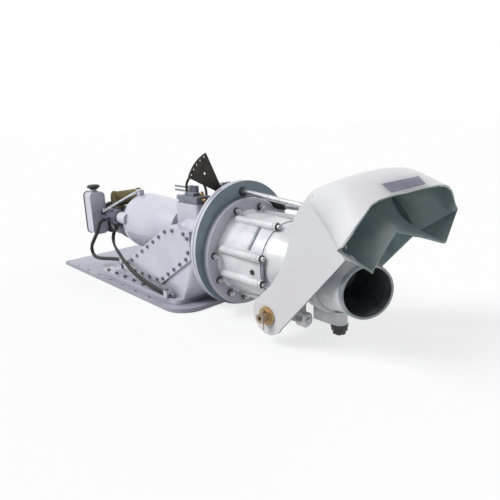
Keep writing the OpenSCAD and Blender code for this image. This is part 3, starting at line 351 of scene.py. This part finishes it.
def looks_out(centre, normal):
    """How far a face of the nozzle looks away from its axis, from -1 in the bore to 1 outside."""
    run = centre - nozzle_pivot
    return normal.dot((run - nozzle_axis * run.dot(nozzle_axis)).normalized())


def on_collar(centre, normal):
    """Whether a face is on the outside or the rim of the nozzle's mouth."""
    return (centre - nozzle_pivot).dot(nozzle_axis) > COLLAR_FROM and looks_out(centre, normal) > BORE_SIDE


second_finish("steering_nozzle", NOZZLE, lambda centre, normal: looks_out(centre, normal) < BORE_SIDE)
second_finish("steering_nozzle", LIP, on_collar)

# The transom rings have pale rims, as painted highlight along their edges, and the tailpipe's flange is
# painted like the hull parts

# A wall runs along an axis where its normal has less than this share of it
ALONG = 0.3
flange_end = station(31)
for name in ("clamp_ring", "transom_flange"):
    second_finish(name, PAINT, lambda centre, normal: abs(normal.x) < ALONG)
second_finish("tailpipe", PAINT, lambda centre, normal: centre.x < flange_end)

# Washers under the nuts on the tailpipe, coloured dark as painted shade round the nuts

HOUSING_WASHERS = (297.5, 301.2)
FLANGE_WASHERS = (27, 31.5)


def between(span):
    """A test for faces that lie between two distances along the shaft line."""
    low, high = (station(x) for x in span)
    return lambda centre, normal: low < centre.x < high


second_finish("housing_bolts", DARK, between(HOUSING_WASHERS))
second_finish("tailpipe_nuts", DARK, between(FLANGE_WASHERS))

# Dark walls in the hull bolt holes: bare metal, and painted shade inside the holes

HOLE_ROW = (0.274, 0.292)
holes_end = station(-440)


def in_hull_hole(centre, normal):
    """Whether a face of the base plate is the wall of a hole along its sides."""
    return abs(normal.z) < ALONG and HOLE_ROW[0] < abs(centre.y) < HOLE_ROW[1] and centre.x < holes_end


second_finish("base_plate", DARK, in_hull_hole)


# Small pieces that the solids leave out

PLATE_COLUMNS = 12
PLATE_ROWS = 5
ROD_SIDES = 12
SLEEVE_SIDES = 24


def search(name):
    """Search tree over the faces of one CAD piece, in the row's frame."""
    mesh = nodes[name].data
    place = nodes[name].matrix_world
    points = [place @ vertex.co for vertex in mesh.vertices]
    return BVHTree.FromPolygons(points, [tuple(face.vertices) for face in mesh.polygons])


def piece(name, points, faces, finish, body):
    """A closed mesh made from points in the row's frame, which moves with one CAD body."""
    mesh = bpy.data.meshes.new(name)
    mesh.from_pydata(points, [], faces)
    shape = bmesh.new()
    shape.from_mesh(mesh)
    bmesh.ops.recalc_face_normals(shape, faces=shape.faces)
    shape.to_mesh(mesh)
    shape.free()
    mesh.materials.append(finish)
    mesh.shade_smooth()
    mesh.set_sharp_from_angle(angle=SHARP)
    obj = bpy.data.objects.new(name, mesh)
    bpy.context.collection.objects.link(obj)
    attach(obj, body)


def plate_on(name, tree, corners, inset, low, high, finish, body):
    """A thin plate that follows a surface, between four pixels of the photo, from low to high above it.

    inset is the share of the width and of the depth that is left free at each edge.
    """
    top_left, top_right, low_left, low_right = (Vector(c) for c in corners)
    under, over = [], []
    for j in range(PLATE_ROWS + 1):
        down = inset[1] + (1 - 2 * inset[1]) * j / PLATE_ROWS
        for i in range(PLATE_COLUMNS + 1):
            along = inset[0] + (1 - 2 * inset[0]) * i / PLATE_COLUMNS
            pixel = top_left.lerp(top_right, along).lerp(low_left.lerp(low_right, along), down)
            spot, normal, _, _ = tree.ray_cast(eye, sight(*pixel))
            under.append(spot + normal * low)
            over.append(spot + normal * high)
    count = len(under)
    wide = PLATE_COLUMNS + 1
    faces = []
    for j in range(PLATE_ROWS):
        for i in range(PLATE_COLUMNS):
            a = j * wide + i
            faces.append((a, a + 1, a + wide + 1, a + wide))
            faces.append((count + a, count + a + wide, count + a + wide + 1, count + a + 1))
    rim = list(range(wide))
    rim += [j * wide + PLATE_COLUMNS for j in range(1, PLATE_ROWS + 1)]
    rim += [PLATE_ROWS * wide + i for i in range(PLATE_COLUMNS - 1, -1, -1)]
    rim += [j * wide for j in range(PLATE_ROWS - 1, 0, -1)]
    for a, b in zip(rim, rim[1:] + rim[:1]):
        faces.append((a, b, count + b, count + a))
    piece(name, under + over, faces, finish, body)


def rod(name, line, radius, finish, body):
    """A round bar along a line of points, with flat ends."""
    points, faces = [], []
    for k, spot in enumerate(line):
        run = (line[min(k + 1, len(line) - 1)] - line[max(k - 1, 0)]).normalized()
        across = run.orthogonal().normalized() if k == 0 else (across - run * across.dot(run)).normalized()
        other = run.cross(across)
        for n in range(ROD_SIDES):
            a = 2 * math.pi * n / ROD_SIDES
            points.append(spot + (across * math.cos(a) + other * math.sin(a)) * radius)
    for k in range(len(line) - 1):
        for n in range(ROD_SIDES):
            a = k * ROD_SIDES + n
            b = k * ROD_SIDES + (n + 1) % ROD_SIDES
            faces.append((a, b, b + ROD_SIDES, a + ROD_SIDES))
    faces.append(tuple(range(ROD_SIDES)))
    faces.append(tuple(range(len(points) - ROD_SIDES, len(points))))
    piece(name, points, faces, finish, body)


def sleeve(name, centre, profile, bore, finish, body):
    """A turned sleeve along the shaft's direction, in millimetres.

    profile pairs each distance along the shaft with the sleeve's outer radius there.
    """
    loop = profile + [(profile[-1][0], bore), (profile[0][0], bore)]
    points, faces = [], []
    for x, r in loop:
        for n in range(SLEEVE_SIDES):
            a = 2 * math.pi * n / SLEEVE_SIDES
            points.append(at(x, centre[0] + r * math.cos(a), centre[1] + r * math.sin(a)))
    for k in range(len(loop)):
        here = k * SLEEVE_SIDES
        there = (k + 1) % len(loop) * SLEEVE_SIDES
        for n in range(SLEEVE_SIDES):
            m = (n + 1) % SLEEVE_SIDES
            faces.append((here + n, here + m, there + m, there + n))
    piece(name, points, faces, finish, body)


# A rubber gaiter round the steering rod, which starts at the transom flange

STEER_ROD_YZ = (190, 195)
GAITER_BORE = 12.6
GAITER_NECK = (1, 31)
GAITER_NECK_R = 13.8
GAITER_RIDGES = 6
GAITER_FIRST = 33
GAITER_PITCH = 9
GAITER_CREST = 4
GAITER_FALL = 7
GAITER_VALLEY_R = 15
GAITER_CREST_R = 20
GAITER_CUFF = 8
gaiter = [(x, GAITER_NECK_R) for x in GAITER_NECK]
for k in range(GAITER_RIDGES):
    start = GAITER_FIRST + k * GAITER_PITCH
    gaiter.append((start, GAITER_VALLEY_R))
    gaiter.append((start + GAITER_CREST, GAITER_CREST_R))
    gaiter.append((start + GAITER_FALL, GAITER_VALLEY_R))
gaiter.append((gaiter[-1][0] + GAITER_CUFF, GAITER_VALLEY_R))
sleeve("rod_gaiter", STEER_ROD_YZ, gaiter, GAITER_BORE, BLACK, "unit")

# A blank framed plate on the hood

PLATE_CORNERS = ((377.5, 183.0), (419.0, 174.6), (391.0, 195.0), (428.8, 185.2))
FRAME_INSET = (0.0, 0.0)
FRAME_LOW = -0.0005
FRAME_HIGH = 0.0012
FIELD_INSET = (0.05, 0.13)
FIELD_LOW = 0.0010
FIELD_HIGH = 0.0018
hood = search("reverse_duct")
plate_on("hood_plate", hood, PLATE_CORNERS, FRAME_INSET, FRAME_LOW, FRAME_HIGH, WHITE,
         "duct")
plate_on("hood_plate_field", hood, PLATE_CORNERS, FIELD_INSET, FIELD_LOW, FIELD_HIGH, FIELD,
         "duct")

# A casting rib on the tailpipe's port side, darkened as painted shade, and a dark disc on a small hole
# there, as painted shade

RIB_FROM = Vector((259.7, 227.7))
RIB_TO = Vector((248.8, 249.5))
RIB_STEPS = 8
RIB_R = 0.008
DARK_HOLE_PIXEL = (252.3, 272.4)
DARK_HOLE_R = 0.012
DARK_HOLE_HALF_T = 0.003
drum = search("tailpipe")
rib_pixels = [RIB_FROM.lerp(RIB_TO, k / RIB_STEPS) for k in range(RIB_STEPS + 1)]
rib_line = [drum.ray_cast(eye, sight(*pixel))[0] for pixel in rib_pixels]
# The rib takes the darker lip finish as painted shade along it
rod("drum_rib", rib_line, RIB_R, LIP, "unit")
# A dark disc on a small hole in the drum, its darkness painted shade
hole_spot, hole_out, _, _ = drum.ray_cast(eye, sight(*DARK_HOLE_PIXEL))
hole_line = [hole_spot - hole_out * DARK_HOLE_HALF_T, hole_spot + hole_out * DARK_HOLE_HALF_T]
rod("drum_hole_shade", hole_line, DARK_HOLE_R, DARK, "unit")

# A lock strap between the two middle housing bolts on each side, in dark slate as painted shade

BOLT_CIRCLE = 190
STRAP_X = 304.8
STRAP_ANGLES = (math.radians(74), math.radians(108))
WASHER_R = 0.0145
STRAP_R = 0.0062
for side, hand in (("port", -1), ("starboard", 1)):
    ends = [at(STRAP_X, hand * BOLT_CIRCLE * math.sin(a), BOLT_CIRCLE * math.cos(a)) for a in STRAP_ANGLES]
    step = (ends[1] - ends[0]).normalized() * WASHER_R
    rod(side + "_lock_strap_painted_shade", [ends[0] + step, ends[1] - step], STRAP_R, SLATE, "unit")


# Stage

FLOOR_SIZE = 80
FLOOR_GAP = 0.0005
FLOOR_GLOW = 0.72
FLOOR_BOUNCE = (0.58, 0.58, 0.58, 1)
FLOOR_SEEN = (0.96, 0.96, 0.96, 1)
WORLD_LIGHT = 0.28
WORLD_SEEN = 1.0


def shown_rays(tree):
    """A socket that is 1 for rays that show the background, also mirrored or through glass, and else 0."""
    ray = tree.nodes.new("ShaderNodeLightPath")
    shown = ray.outputs["Is Camera Ray"]
    for kind in ("Is Glossy Ray", "Is Transmission Ray"):
        either = tree.nodes.new("ShaderNodeMath")
        either.operation = "MAXIMUM"
        tree.links.new(shown, either.inputs[0])
        tree.links.new(ray.outputs[kind], either.inputs[1])
        shown = either.outputs[0]
    return shown


def floor_finish():
    """Pale floor that the camera sees near white, with the object's soft shadow kept."""
    mat = bpy.data.materials.new("pale floor")
    mat.use_nodes = True
    tree = mat.node_tree
    link = tree.links.new
    tree.nodes.clear()
    out = tree.nodes.new("ShaderNodeOutputMaterial")
    shown = shown_rays(tree)
    share = tree.nodes.new("ShaderNodeMath")
    share.operation = "MULTIPLY"
    share.inputs[1].default_value = FLOOR_GLOW
    tone = tree.nodes.new("ShaderNodeMix")
    tone.data_type = "RGBA"
    tone.inputs["A"].default_value = FLOOR_BOUNCE
    tone.inputs["B"].default_value = FLOOR_SEEN
    matt = tree.nodes.new("ShaderNodeBsdfDiffuse")
    glow = tree.nodes.new("ShaderNodeEmission")
    mix = tree.nodes.new("ShaderNodeMixShader")
    link(shown, share.inputs[0])
    link(shown, tone.inputs["Factor"])
    link(tone.outputs["Result"], matt.inputs["Color"])
    link(share.outputs[0], mix.inputs["Fac"])
    link(matt.outputs["BSDF"], mix.inputs[1])
    link(glow.outputs["Emission"], mix.inputs[2])
    link(mix.outputs["Shader"], out.inputs["Surface"])
    return mat


def soft_sun(name, towards, strength, spread):
    """A broad even light that comes from one direction."""
    data = bpy.data.lights.new(name, "SUN")
    data.energy = strength
    data.angle = math.radians(spread)
    lamp = bpy.data.objects.new(name, data)
    lamp.rotation_euler = Vector(towards).to_track_quat("Z", "Y").to_euler()
    bpy.context.collection.objects.link(lamp)


def studio_world():
    """White surroundings, which light the object less than they show."""
    world = bpy.data.worlds.new("studio")
    world.use_nodes = True
    tree = world.node_tree
    sky = tree.nodes["Background"]
    sky.inputs["Color"].default_value = (1, 1, 1, 1)
    strength = tree.nodes.new("ShaderNodeMapRange")
    strength.inputs["To Min"].default_value = WORLD_LIGHT
    strength.inputs["To Max"].default_value = WORLD_SEEN
    tree.links.new(shown_rays(tree), strength.inputs["Value"])
    tree.links.new(strength.outputs["Result"], sky.inputs["Strength"])
    return world


floor_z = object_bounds()[0][2] - FLOOR_GAP
bpy.ops.mesh.primitive_plane_add(size=FLOOR_SIZE, location=(0, 0, floor_z))
floor = bpy.context.object
floor.name = "floor"
floor.data.materials.append(floor_finish())
soft_sun("key", towards=(-0.30, -0.62, 0.72), strength=2.5, spread=28)
soft_sun("fill", towards=(0.15, 0.85, 0.50), strength=0.8, spread=60)
bpy.context.scene.world = studio_world()
bpy.context.scene.view_settings.view_transform = "Standard"
